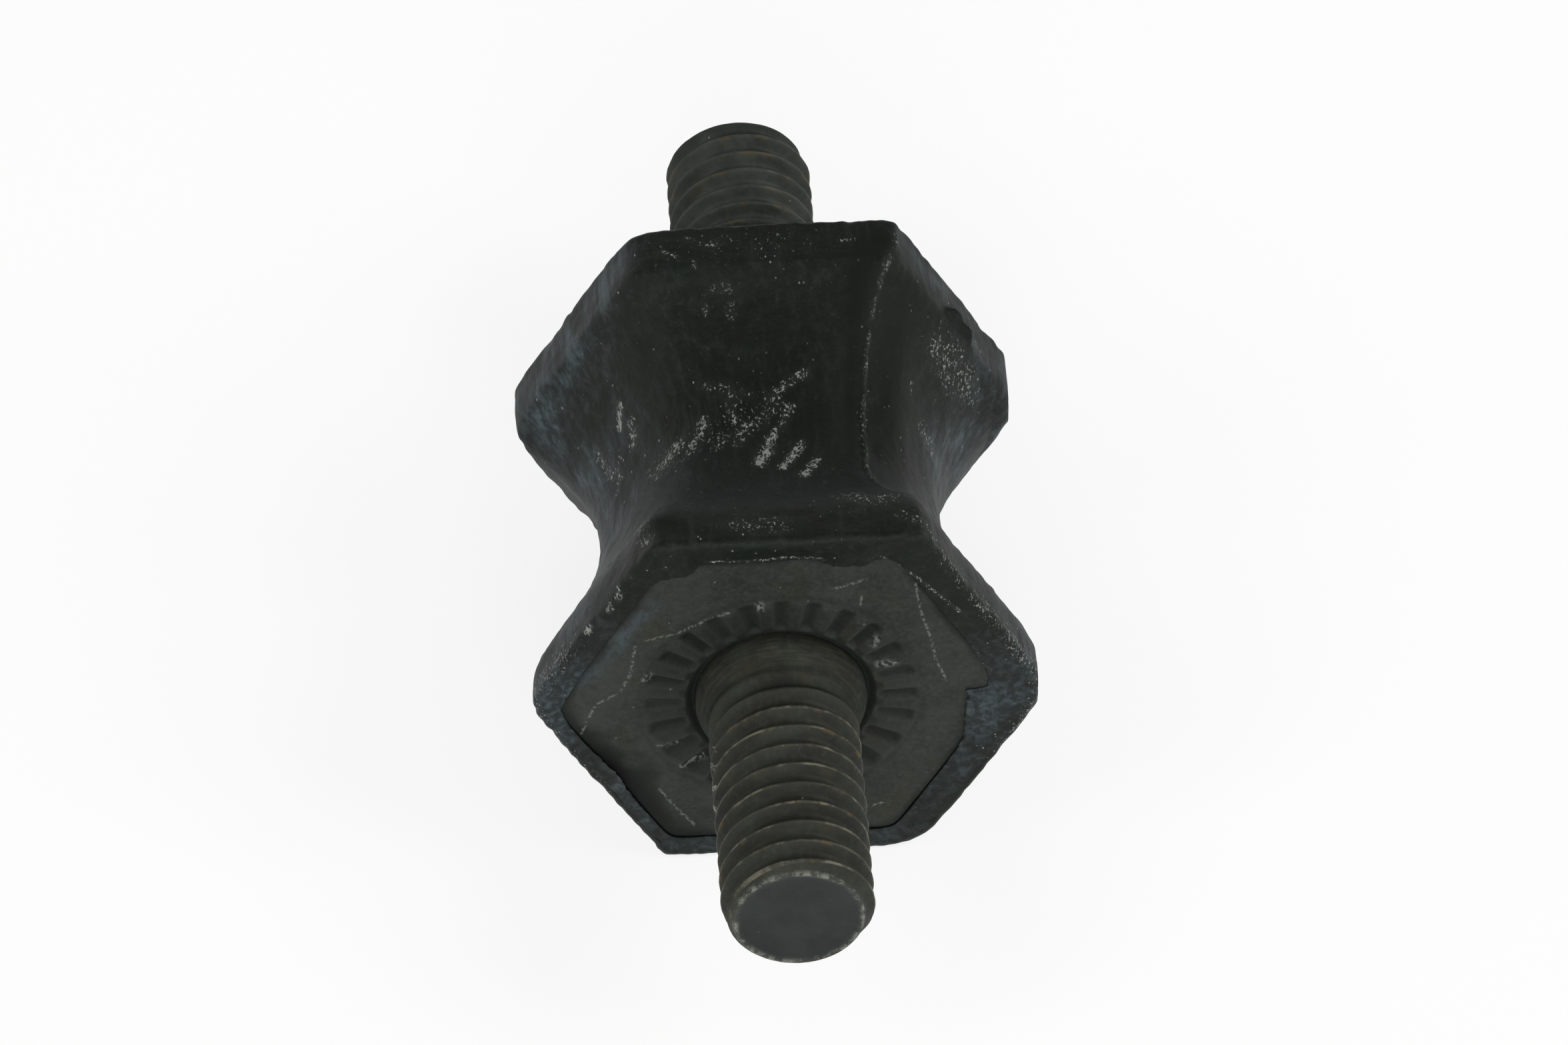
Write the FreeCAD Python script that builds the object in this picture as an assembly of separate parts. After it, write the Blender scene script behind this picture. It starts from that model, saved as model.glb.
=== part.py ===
import FreeCAD, Part
import math
import os

# Air pump mount: a hexagonal rubber body with a waist, and at each end a bonded steel plate
# that carries a staked M6 stud. The mount lies on one flat of its hexagon, with its studs
# along Y, and the origin is under its middle. All sizes are in millimetres.

# Rubber body
ACROSS_FLATS = 17.5            # hexagon of the two flanges
FLANGE_CORNER_RADIUS = 0.7
FLANGE_THICKNESS = 2.35
FLANGE_EDGE_RADIUS = 0.3       # rounding of the outer rim at each end
BODY_LENGTH = 17.7             # over the end faces of the two flanges
WAIST_ACROSS_FLATS = 12.9      # at the narrowest section, half-way along
WAIST_CORNER_REACH = 6.8       # from the axis to the cut-back corners there

# Steel plates, set in pockets of the flanges
LIP_WIDTH = 1.1                # rubber left around a plate, across the flats
PLATE_CORNER_RADIUS = 0.8
PLATE_THICKNESS = 1.5
PLATE_RECESS = 0.1             # plate face below the end face of the rubber

# Staked ring of each plate, around its stud
RING_INNER_RADIUS = 3.75
RING_OUTER_RADIUS = 5.35
RING_HEIGHT = 0.12             # ribs above the plate face
RING_BEVEL = 0.12
NOTCH_COUNT = 24
NOTCH_WIDTH = 0.55
NOTCH_DEPTH = 0.26             # below the tops of the ribs
MOAT_WIDTH = 0.27              # annular groove between the ring and the neck of the stud
MOAT_DEPTH = 0.5

# Studs, M6 with a pitch of 1 mm; the thread itself is a surface finish
THREAD_RADIUS = 2.95
END_CHAMFER = 0.45
FRONT_STUD_LENGTH = 11.6       # from the plate face to the end
REAR_STUD_LENGTH = 12.8
NECK_RADIUS = 3.33
NECK_HEIGHT = 0.25             # straight part of the neck above the plate face
NECK_TAPER_LENGTH = 0.75       # from the neck down to the thread
HEAD_RADIUS = 5.0              # flange behind the plate, inside the rubber
HEAD_THICKNESS = 1.2
HEAD_EDGE_CHAMFER = 0.2

CUT_ALLOWANCE = 1.0            # how far a cutting tool reaches past the face it opens

HALF_LENGTH = BODY_LENGTH / 2
PLATE_FACE = HALF_LENGTH - PLATE_RECESS
PLATE_BACK = PLATE_FACE - PLATE_THICKNESS
PLATE_ACROSS_FLATS = ACROSS_FLATS - 2 * LIP_WIDTH
AXIS = FreeCAD.Vector(0, 0, 1)


def ray(radius, degrees, height):
    """Point at a radius and an angle about the axis, at a height along it."""
    angle = math.radians(degrees)
    return FreeCAD.Vector(radius * math.cos(angle), radius * math.sin(angle), height)


def hexagon_wire(across_flats, corner_radius, height):
    """Hexagon with rounded corners: a corner points along X and a flat faces along Y."""
    corner_circle = (across_flats / 2 - corner_radius) / math.cos(math.radians(30))
    centres = [ray(corner_circle, 60 * k, height) for k in range(6)]
    starts = [c + ray(corner_radius, 60 * k - 30, 0) for k, c in enumerate(centres)]
    middles = [c + ray(corner_radius, 60 * k, 0) for k, c in enumerate(centres)]
    ends = [c + ray(corner_radius, 60 * k + 30, 0) for k, c in enumerate(centres)]
    edges = []
    for k in range(6):
        edges.append(Part.Arc(starts[k], middles[k], ends[k]).toShape())
        edges.append(Part.makeLine(ends[k], starts[(k + 1) % 6]))
    return Part.Wire(edges)


def hexagon_prism(across_flats, corner_radius, bottom, top):
    """Straight hexagonal bar between two heights."""
    face = Part.Face(hexagon_wire(across_flats, corner_radius, bottom))
    return face.extrude(FreeCAD.Vector(0, 0, top - bottom))


def turned(profile):
    """Solid of revolution about the axis from (radius, height) points."""
    points = [FreeCAD.Vector(radius, 0, height) for radius, height in profile]
    face = Part.Face(Part.makePolygon(points + points[:1]))
    return face.revolve(FreeCAD.Vector(0, 0, 0), AXIS, 360)


def flange():
    """End flange of the rubber, with the rim of its outer face rounded."""
    prism = hexagon_prism(ACROSS_FLATS, FLANGE_CORNER_RADIUS, HALF_LENGTH - FLANGE_THICKNESS, HALF_LENGTH)
    rim = [edge for edge in prism.Edges if edge.BoundBox.ZMin > HALF_LENGTH - FLANGE_EDGE_RADIUS]
    return prism.makeFillet(FLANGE_EDGE_RADIUS, rim)


def scallop(flange_distance, waist_distance, reach):
    """Cylinder that hollows the +Y side of the waist along a circular arc.

    The side is so far from the axis at the flanges, and so far at the narrowest section.
    """
    depth = flange_distance - waist_distance
    radius = (reach ** 2 + depth ** 2) / (2 * depth)
    start = FreeCAD.Vector(-ACROSS_FLATS, waist_distance + radius, 0)
    return Part.makeCylinder(radius, 2 * ACROSS_FLATS, start, FreeCAD.Vector(1, 0, 0))


def waist():
    """Rubber between the flanges: a hexagonal bar with hollowed flats and cut-back corners."""
    reach = HALF_LENGTH - FLANGE_THICKNESS
    corner_circle = (ACROSS_FLATS / 2 - FLANGE_CORNER_RADIUS) / math.cos(math.radians(30))
    flat = scallop(ACROSS_FLATS / 2, WAIST_ACROSS_FLATS / 2, reach)
    corner = scallop(corner_circle + FLANGE_CORNER_RADIUS, WAIST_CORNER_REACH, reach)
    cutters = []
    for k in range(6):
        for cutter, turn in ((flat.copy(), 60 * k), (corner.copy(), 60 * k + 30)):
            cutter.rotate(FreeCAD.Vector(0, 0, 0), AXIS, turn)
            cutters.append(cutter)
    return hexagon_prism(ACROSS_FLATS, FLANGE_CORNER_RADIUS, -reach, reach).cut(cutters)


def plate_pocket():
    """Space in one flange for a plate and, behind it, the head of its stud."""
    seat = hexagon_prism(PLATE_ACROSS_FLATS, PLATE_CORNER_RADIUS, PLATE_BACK, HALF_LENGTH + CUT_ALLOWANCE)
    return seat.fuse(stud_head())


def rubber_body():
    """Moulded rubber: waist and two flanges in one piece, less the pockets for the steel."""
    end = flange()
    body = waist().fuse([end, other_end(end)]).removeSplitter()
    pocket = plate_pocket()
    return body.cut([pocket, other_end(pocket)])


def notch():
    """V-shaped notch between two ribs of the staked ring, along one radius."""
    top = PLATE_FACE + RING_HEIGHT
    start = NECK_RADIUS + MOAT_WIDTH / 2
    flare = NOTCH_WIDTH * (CUT_ALLOWANCE + NOTCH_DEPTH) / NOTCH_DEPTH / 2
    corners = [
        FreeCAD.Vector(start, -flare, top + CUT_ALLOWANCE),
        FreeCAD.Vector(start, flare, top + CUT_ALLOWANCE),
        FreeCAD.Vector(start, 0, top - NOTCH_DEPTH),
    ]
    face = Part.Face(Part.makePolygon(corners + corners[:1]))
    return face.extrude(FreeCAD.Vector(RING_OUTER_RADIUS + RING_BEVEL - start, 0, 0))


def steel_plate():
    """Hexagonal plate with the bore for its stud, staked around it in a ring of ribs."""
    plate = hexagon_prism(PLATE_ACROSS_FLATS, PLATE_CORNER_RADIUS, PLATE_BACK, PLATE_FACE)
    ring_top = PLATE_FACE + RING_HEIGHT
    ring = turned([
        (RING_INNER_RADIUS, PLATE_BACK),
        (RING_OUTER_RADIUS, PLATE_BACK),
        (RING_OUTER_RADIUS, PLATE_FACE),
        (RING_OUTER_RADIUS - RING_BEVEL, ring_top),
        (RING_INNER_RADIUS + RING_BEVEL, ring_top),
        (RING_INNER_RADIUS, PLATE_FACE),
    ])
    bore = Part.makeCylinder(NECK_RADIUS, PLATE_THICKNESS + 2 * CUT_ALLOWANCE,
                             FreeCAD.Vector(0, 0, PLATE_BACK - CUT_ALLOWANCE))
    moat = Part.makeCylinder(NECK_RADIUS + MOAT_WIDTH, MOAT_DEPTH + CUT_ALLOWANCE,
                             FreeCAD.Vector(0, 0, PLATE_FACE - MOAT_DEPTH))
    notches = []
    for k in range(NOTCH_COUNT):
        cutter = notch()
        cutter.rotate(FreeCAD.Vector(0, 0, 0), AXIS, 90 + 360 * k / NOTCH_COUNT)
        notches.append(cutter)
    return plate.fuse(ring).removeSplitter().cut([bore, moat] + notches)


def stud_head():
    """Round flange of the stud, which bears on the back of the plate."""
    return turned([
        (0, PLATE_BACK - HEAD_THICKNESS),
        (HEAD_RADIUS - HEAD_EDGE_CHAMFER, PLATE_BACK - HEAD_THICKNESS),
        (HEAD_RADIUS, PLATE_BACK - HEAD_THICKNESS + HEAD_EDGE_CHAMFER),
        (HEAD_RADIUS, PLATE_BACK),
        (0, PLATE_BACK),
    ])


def stud(length):
    """Turned stud: head, neck through the plate, short taper and a shank with a chamfered end."""
    end = PLATE_FACE + length
    shank = turned([
        (0, PLATE_BACK),
        (NECK_RADIUS, PLATE_BACK),
        (NECK_RADIUS, PLATE_FACE + NECK_HEIGHT),
        (THREAD_RADIUS, PLATE_FACE + NECK_HEIGHT + NECK_TAPER_LENGTH),
        (THREAD_RADIUS, end - END_CHAMFER),
        (THREAD_RADIUS - END_CHAMFER, end),
        (0, end),
    ])
    return stud_head().fuse(shank).removeSplitter()


def other_end(shape):
    """Copy of a shape turned end for end about the middle of the mount."""
    copy = shape.copy()
    copy.rotate(FreeCAD.Vector(0, 0, 0), FreeCAD.Vector(1, 0, 0), 180)
    return copy


def laid_down(shape):
    """Turn the axis from +Z to -Y, lift the mount onto its lower flats and centre its length."""
    placed = shape.copy()
    placed.rotate(FreeCAD.Vector(0, 0, 0), FreeCAD.Vector(1, 0, 0), 90)
    middle = (FRONT_STUD_LENGTH - REAR_STUD_LENGTH) / 2
    placed.translate(FreeCAD.Vector(0, middle, ACROSS_FLATS / 2))
    return placed


def build():
    """Every piece of the mount by name, laid down as it rests."""
    plate = steel_plate()
    pieces = {
        "rubber_body": rubber_body(),
        "front_plate": plate,
        "front_stud": stud(FRONT_STUD_LENGTH),
        "rear_plate": other_end(plate),
        "rear_stud": other_end(stud(REAR_STUD_LENGTH)),
    }
    return {name: laid_down(shape) for name, shape in pieces.items()}


def main():
    """Write one STEP file for each piece and print what it holds."""
    os.makedirs("parts", exist_ok=True)
    for name, shape in build().items():
        shape.exportStep(os.path.join("parts", name + ".step"))
        box = shape.BoundBox
        print(f"{name}: {len(shape.Solids)} solid, valid {shape.isValid()}, {shape.Volume:.1f} mm3, "
              f"x {box.XMin:.2f} {box.XMax:.2f} y {box.YMin:.2f} {box.YMax:.2f} z {box.ZMin:.2f} {box.ZMax:.2f}")


main()
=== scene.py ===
"""Air pump mount: a waisted hexagonal rubber body with a staked steel plate and a threaded stud at each end.

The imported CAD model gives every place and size. This script lays the moulded rubber, the plates and the
threads over it as worked-out surfaces, dresses them, and sets up the floor, the light and the camera.
Lengths are in millimetres until a mesh is made. A place on the mount is given by an angle about its axis
(0 at the +X corner, 90 on the top flat), a radius, and a height along the axis from the middle of the body,
towards the end that the piece is on.
"""

import logging
import math
from dataclasses import dataclass, field
from enum import Enum
from typing import Any

import bpy
import numpy as np
from mathutils import Matrix, Vector

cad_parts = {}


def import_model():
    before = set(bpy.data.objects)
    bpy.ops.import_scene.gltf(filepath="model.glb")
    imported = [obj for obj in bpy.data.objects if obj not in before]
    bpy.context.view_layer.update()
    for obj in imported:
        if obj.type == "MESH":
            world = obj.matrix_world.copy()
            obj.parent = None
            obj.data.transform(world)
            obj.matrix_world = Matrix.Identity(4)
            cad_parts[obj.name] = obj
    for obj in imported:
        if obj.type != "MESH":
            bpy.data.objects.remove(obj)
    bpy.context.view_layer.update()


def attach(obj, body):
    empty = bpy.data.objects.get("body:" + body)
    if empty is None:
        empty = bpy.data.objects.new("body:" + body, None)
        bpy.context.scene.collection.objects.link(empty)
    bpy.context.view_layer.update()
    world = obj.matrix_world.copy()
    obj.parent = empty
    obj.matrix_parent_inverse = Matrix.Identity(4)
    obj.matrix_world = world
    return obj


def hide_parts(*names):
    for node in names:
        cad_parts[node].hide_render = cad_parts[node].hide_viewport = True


LOG = logging.getLogger("mount")
MM = 0.001
BODY_MIDDLE_Y = -0.6
AXIS_HEIGHT = 8.75
UNCUT = 20.0  # distance of a corner cut that misses the hexagon
Array = np.ndarray


class End(Enum):
    """Which end of the mount a piece is on: the sign of its outward direction along Y."""

    FRONT = -1
    REAR = 1


class Slot(Enum):
    """Material slots of the record."""

    RUBBER = "moulded_rubber"
    PLATE = "phosphated_plate"
    STUD = "oiled_stud"


# Surfaces as arrays


def smoothstep(low: float, high: float, x: Array) -> Array:
    """Eased step from 0 at low to 1 at high: t squared times (3 - 2t), for the share t of the way."""
    t = np.clip((x - low) / (high - low), 0.0, 1.0)
    return t * t * (3.0 - 2.0 * t)


def bump(centre: float, width: float, x: Array) -> Array:
    """Bell curve: e to the minus square of the distance from centre over width."""
    return np.exp(-(((x - centre) / width) ** 2))


def softmin(a: Array, b: Array, width: float) -> Array:
    """Eased smaller value: half of (their sum less the root of gap squared plus width squared)."""
    return 0.5 * (a + b - np.sqrt((a - b) ** 2 + width ** 2))


def grain(points: Array, wavelength: float, seed: int, waves: int = 16) -> Array:
    """Smooth seeded unevenness of a field of points.

    The value is the sum of plane sine waves in random directions, each of a wavelength near the one
    given, divided by the root of half their number, so that its mean square is 1.

    Args:
        points: places, with x, y and z on the last axis.
        wavelength: typical length of a wave.
        seed: seed of the random draws.
        waves: how many waves are added.

    Returns:
        One value for each place.
    """
    rng = np.random.default_rng(seed)
    total = np.zeros(points.shape[:-1])
    for _ in range(waves):
        direction = rng.normal(size=3)
        direction *= 2 * math.pi / (np.linalg.norm(direction) * wavelength * rng.uniform(0.7, 1.5))
        total += np.sin(points @ direction + rng.uniform(0, 2 * math.pi))
    return total / math.sqrt(waves / 2)


def arc_dip(height: Array, reach: float, depth: float, ease: float) -> Array:
    """Depth of a circular hollow at a height from its middle.

    The arc has the radius (reach squared + depth squared) / (2 depth). Its depth at a height h is
    depth - radius + root(radius squared - h squared), and past the reach it eases to nothing.

    Args:
        height: distance along the axis from the middle.
        reach: half the length of the hollow.
        depth: its depth at the middle.
        ease: width over which the edge of the hollow is rounded.

    Returns:
        The depth at each height.
    """
    radius = (reach ** 2 + depth ** 2) / (2 * depth)
    arc = depth - radius + np.sqrt(np.maximum(radius ** 2 - height ** 2, 0.0))
    return 0.5 * (arc + np.sqrt(arc ** 2 + ease ** 2))


def corner_share(theta: Array, corner: int) -> Array:
    """Share of one corner at an angle: cosine squared of 1.5 times the gap, and 0 past 60 degrees."""
    gap = (theta - corner * math.pi / 3 + math.pi) % (2 * math.pi) - math.pi
    return np.where(np.abs(gap) < math.pi / 3, np.cos(1.5 * gap) ** 2, 0.0)


def by_corner(theta: Array, values: tuple[float, ...]) -> Array:
    """One value per corner, blended round the hexagon by the corners' shares."""
    return sum(value * corner_share(theta, k) for k, value in enumerate(values))


def hexagon_radius(theta: Array, flats: list[Array], corners: Array, sharpness: Array) -> Array:
    """Radius of a rounded hexagon at an angle.

    Each side k is a line at a distance d from the axis, which the ray meets at d / cos(angle from its
    normal), and so is the cut across each corner. The radius is the smooth smallest of these: the sum
    of each to the power -p, to the power -1/p, where p is the sharpness.

    Args:
        theta: angles.
        flats: distance of each of the six sides, the first at 30 degrees.
        corners: distance of the cuts across the corners.
        sharpness: the power p, which is 4.5 times the corner's distance over its rounding.

    Returns:
        The radius at each angle.
    """
    total = np.zeros(np.broadcast(theta, sharpness).shape)
    for k in range(6):
        for distance, normal in ((flats[k], math.pi / 6 + k * math.pi / 3), (corners, k * math.pi / 3)):
            facing = np.maximum(np.cos(theta - normal), 1e-3)
            total += (facing / distance) ** sharpness
    return total ** (-1.0 / sharpness)


def stroke_mask(x: Array, y: Array, strokes: tuple, width: float) -> Array:
    """How near places are to drawn strokes: e to the minus square of distance over half a stroke's width.

    Args:
        x: first coordinate of the places.
        y: second coordinate.
        strokes: each is a tuple of (x, y) points joined by straight lines.
        width: full width of a stroke.

    Returns:
        1 on a stroke, falling to 0 beside it.
    """
    nearest = np.full(x.shape, 1e9)
    for stroke in strokes:
        for (ax, ay), (bx, by) in zip(stroke[:-1], stroke[1:]):
            span = max((bx - ax) ** 2 + (by - ay) ** 2, 1e-9)
            share = np.clip(((x - ax) * (bx - ax) + (y - ay) * (by - ay)) / span, 0.0, 1.0)
            nearest = np.minimum(nearest, np.hypot(x - ax - share * (bx - ax), y - ay - share * (by - ay)))
    return np.exp(-((nearest / (width / 2)) ** 2))


def painted(x: Array, y: Array, strokes: tuple, stretch: float = 1.0) -> Array:
    """Strongest of several drawn strokes at each place.

    Args:
        x: first coordinate of the places.
        y: second coordinate.
        strokes: each is its strength, its width and then its points.
        stretch: what the first number of every point is multiplied by.

    Returns:
        The strength on a stroke, falling to 0 beside it.
    """
    total = np.zeros(np.broadcast(x, y).shape)
    for strength, width, *points in strokes:
        line = tuple((stretch * along, up) for along, up in points)
        total = np.maximum(total, strength * stroke_mask(x, y, (line,), width))
    return total


def place(theta: Array, radius: Array, height: Array, end: End) -> Array:
    """Points in the row frame, in mm: x = r cos, z = r sin about the axis, y out from the body's middle."""
    theta, radius, height = np.broadcast_arrays(theta, radius, height)
    y = BODY_MIDDLE_Y + end.value * height
    return np.stack([radius * np.cos(theta), y, AXIS_HEIGHT + radius * np.sin(theta)], axis=-1)


@dataclass
class Skin:
    """A closed surface of revolution-like rows: row i, column j, closed round the axis.

    Attributes:
        points: rows x columns x 3 places in mm.
        masks: named values, one for each place.
        loop: whether the last row joins the first; otherwise both ends close on the axis.
        flip: whether the rows run the other way, so that the faces turn outwards again.
    """

    points: Array
    masks: dict[str, Array] = field(default_factory=dict)
    loop: bool = False
    flip: bool = False

    def build(self, name: str, slot: Slot, *nodes: str) -> bpy.types.Object:
        """Make the mesh, with its masks as attributes, and put it on the mount.

        Args:
            name: name of the piece.
            slot: material slot of the record; not used.
            nodes: CAD nodes that the piece stands for.

        Returns:
            The piece.
        """
        rows, columns = self.points.shape[:2]
        co = self.points.reshape(-1, 3)
        if not self.loop:
            co = np.vstack([co, self.points[0].mean(0), self.points[-1].mean(0)])
        index = np.arange(rows * columns).reshape(rows, columns)
        if self.loop:
            index = np.vstack([index, index[:1]])
        index = np.hstack([index, index[:, :1]])
        quads = np.stack([index[:-1, :-1], index[1:, :-1], index[1:, 1:], index[:-1, 1:]], axis=-1)
        faces = [quads.reshape(-1, 4)]
        if not self.loop:
            first, last = rows * columns, rows * columns + 1
            faces.append(np.stack([np.full(columns, first), index[0, :-1], index[0, 1:]], axis=-1))
            faces.append(np.stack([np.full(columns, last), index[-1, 1:], index[-1, :-1]], axis=-1))
        if self.flip:
            faces = [f[:, ::-1] for f in faces]
        mesh = bpy.data.meshes.new(name)
        mesh.from_pydata((co * MM).tolist(), [], [f for group in faces for f in group.tolist()])
        mesh.polygons.foreach_set("use_smooth", np.ones(len(mesh.polygons), dtype=bool))
        for key, values in self.masks.items():
            layer = mesh.attributes.new(key, "FLOAT", "POINT")
            flat = np.broadcast_to(values, (rows, columns)).astype(np.float32)
            ends = [] if self.loop else [flat[0].mean(), flat[-1].mean()]
            layer.data.foreach_set("value", np.concatenate([flat.ravel(), ends]).astype(np.float32))
        mesh.update()
        piece = bpy.data.objects.new(name, mesh)
        bpy.context.scene.collection.objects.link(piece)
        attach(piece, "root")
        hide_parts(*nodes)
        LOG.info("%s: %d faces", name, len(mesh.polygons))
        return piece


# Shader maths


class Sock:
    """A node's output socket on which arithmetic adds Math nodes."""

    def __init__(self, graph: "Graph", socket: bpy.types.NodeSocket) -> None:
        """Keep the graph and the socket."""
        self.graph = graph
        self.socket = socket

    def _math(self, operation: str, *values: Any) -> "Sock":
        """Add a Math node with that operation on the values."""
        return self.graph.node("ShaderNodeMath", {"operation": operation}, dict(enumerate(values)))

    def __add__(self, other: Any) -> "Sock":
        """Sum."""
        return self._math("ADD", self, other)

    __radd__ = __add__

    def __mul__(self, other: Any) -> "Sock":
        """Product."""
        return self._math("MULTIPLY", self, other)

    __rmul__ = __mul__

    def __sub__(self, other: Any) -> "Sock":
        """Difference."""
        return self._math("SUBTRACT", self, other)

    def __rsub__(self, other: Any) -> "Sock":
        """Difference the other way round."""
        return self._math("SUBTRACT", other, self)

    def __abs__(self) -> "Sock":
        """Size without its sign."""
        return self._math("ABSOLUTE", self)

    def most(self, other: Any) -> "Sock":
        """The larger of two values."""
        return self._math("MAXIMUM", self, other)

    def least(self, other: Any) -> "Sock":
        """The smaller of two values."""
        return self._math("MINIMUM", self, other)

    def step(self, low: float, high: float) -> "Sock":
        """Eased step from 0 at low to 1 at high."""
        return self.graph.node("ShaderNodeMapRange", {"interpolation_type": "SMOOTHSTEP"},
                               {0: self, 1: low, 2: high, 3: 0.0, 4: 1.0})


@dataclass
class Graph:
    """Node tree of one material or of the world.

    Attributes:
        tree: the tree that the nodes go into.
    """

    tree: bpy.types.NodeTree

    def node(self, kind: str, settings: dict[str, Any] | None = None, values: dict[Any, Any] | None = None,
             out: Any = 0) -> Sock:
        """Add one node.

        Args:
            kind: the node's type.
            settings: properties of the node, set first; "ramp" holds a ramp's (place, colour) stops.
            values: by the name or number of each input socket, a value or what links to it.
            out: name or number of the output that is wanted.

        Returns:
            The output socket, wrapped.
        """
        made = self.tree.nodes.new(kind)
        for key, value in (settings or {}).items():
            if key == "ramp":
                while len(made.color_ramp.elements) < len(value):
                    made.color_ramp.elements.new(0.5)
                for element, (position, colour) in zip(made.color_ramp.elements, value):
                    element.position = position
                    element.color = (*colour, 1.0)
            else:
                setattr(made, key, value)
        for key, value in (values or {}).items():
            if isinstance(value, Sock):
                self.tree.links.new(value.socket, made.inputs[key])
            else:
                made.inputs[key].default_value = value
        return Sock(self, made.outputs[out])

    def mix(self, factor: Any, low: Any, high: Any) -> Sock:
        """Blend of two colours, each a colour or a link, by a factor from 0 to 1."""
        colours = {6: low, 7: high}
        values = {k: v if isinstance(v, Sock) else (*v, 1.0) for k, v in colours.items()}
        return self.node("ShaderNodeMix", {"data_type": "RGBA"}, {0: factor, **values}, out=2)

    def coats(self, base: Any, *coats: tuple[Any, Any]) -> Sock:
        """Colours laid over a base in turn, each a pair of its cover, from 0 to 1, and its colour."""
        for cover, colour in coats:
            base = self.mix(cover, base, colour)
        return base

    def mask(self, name: str) -> Sock:
        """A mesh attribute's value."""
        return self.node("ShaderNodeAttribute", {"attribute_name": name}, out="Fac")

    def millimetres(self, stretch: tuple[float, float, float] = (1.0, 1.0, 1.0)) -> Sock:
        """Object coordinates in millimetres, from the mount's centre, each times its stretch."""
        coordinates = self.node("ShaderNodeTexCoord", out="Object")
        scale = tuple(s / MM for s in stretch)
        shift = (0.0, -BODY_MIDDLE_Y * stretch[1], -AXIS_HEIGHT * stretch[2])
        return self.node("ShaderNodeMapping", {}, {"Vector": coordinates, "Location": shift, "Scale": scale})

    def noise(self, where: Sock, scale: float, detail: float = 2.0, rough: float = 0.5,
              warp: float = 0.0) -> Sock:
        """Smooth noise about 0.5, with the given number of waves per millimetre."""
        values = {"Vector": where, "Scale": scale, "Detail": detail, "Roughness": rough, "Distortion": warp}
        return self.node("ShaderNodeTexNoise", {}, values)

    def specks(self, where: Sock, scale: float, size: float, share: float) -> Sock:
        """Scattered dots: 1 inside a dot of the given size around some of the cells' points.

        Args:
            where: coordinates.
            scale: cells per millimetre.
            size: radius of a dot as a share of a cell.
            share: share of the cells that have a dot.

        Returns:
            The dots, from 0 to 1.
        """
        cells = ("ShaderNodeTexVoronoi", {"feature": "F1"}, {"Vector": where, "Scale": scale})
        near = self.node(*cells, out="Distance")
        colour = self.node(*cells, out="Color")
        pick = self.node("ShaderNodeSeparateColor", {}, {0: colour})
        return (1.0 - near.step(size * 0.5, size)) * pick.step(1.0 - share, 1.0 - share * 0.7)

    def finish(self, surface: Sock, kind: str = "ShaderNodeOutputMaterial") -> None:
        """Link a shader to a new output node."""
        output = self.tree.nodes.new(kind)
        self.tree.links.new(surface.socket, output.inputs["Surface"])

    def relief(self, height: Sock) -> Sock:
        """Bump from a height in millimetres."""
        return self.node("ShaderNodeBump", {}, {"Strength": 1.0, "Distance": MM, "Height": height})


@dataclass(frozen=True)
class Finish:
    """A named material and the surface values that are the same all over it."""

    name: str
    specular: float
    tint: tuple[float, float, float] = (1.0, 1.0, 1.0)
    sheen: float = 0.0
    sheen_tint: tuple[float, float, float] = (0.65, 0.95, 1.0)

    def dress(self, piece: bpy.types.Object) -> None:
        """Make the material once and give it to a piece."""
        material = bpy.data.materials.get(self.name) or self._make()
        piece.data.materials.clear()
        piece.data.materials.append(material)

    def _make(self) -> bpy.types.Material:
        """Node tree with a Principled surface, whose varying inputs come from the finish's own paint."""
        material = bpy.data.materials.new(self.name)
        material.use_nodes = True
        material.node_tree.nodes.clear()
        graph = Graph(material.node_tree)
        values = {"Specular IOR Level": self.specular, "Specular Tint": (*self.tint, 1.0),
                  "Sheen Weight": self.sheen, "Sheen Roughness": 0.45,
                  "Sheen Tint": (*self.sheen_tint, 1.0), **self.paint(graph)}
        graph.finish(graph.node("ShaderNodeBsdfPrincipled", {}, values))
        return material

    def paint(self, graph: Graph) -> dict[str, Any]:
        """Values and links for the surface's varying inputs."""
        raise NotImplementedError


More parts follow.
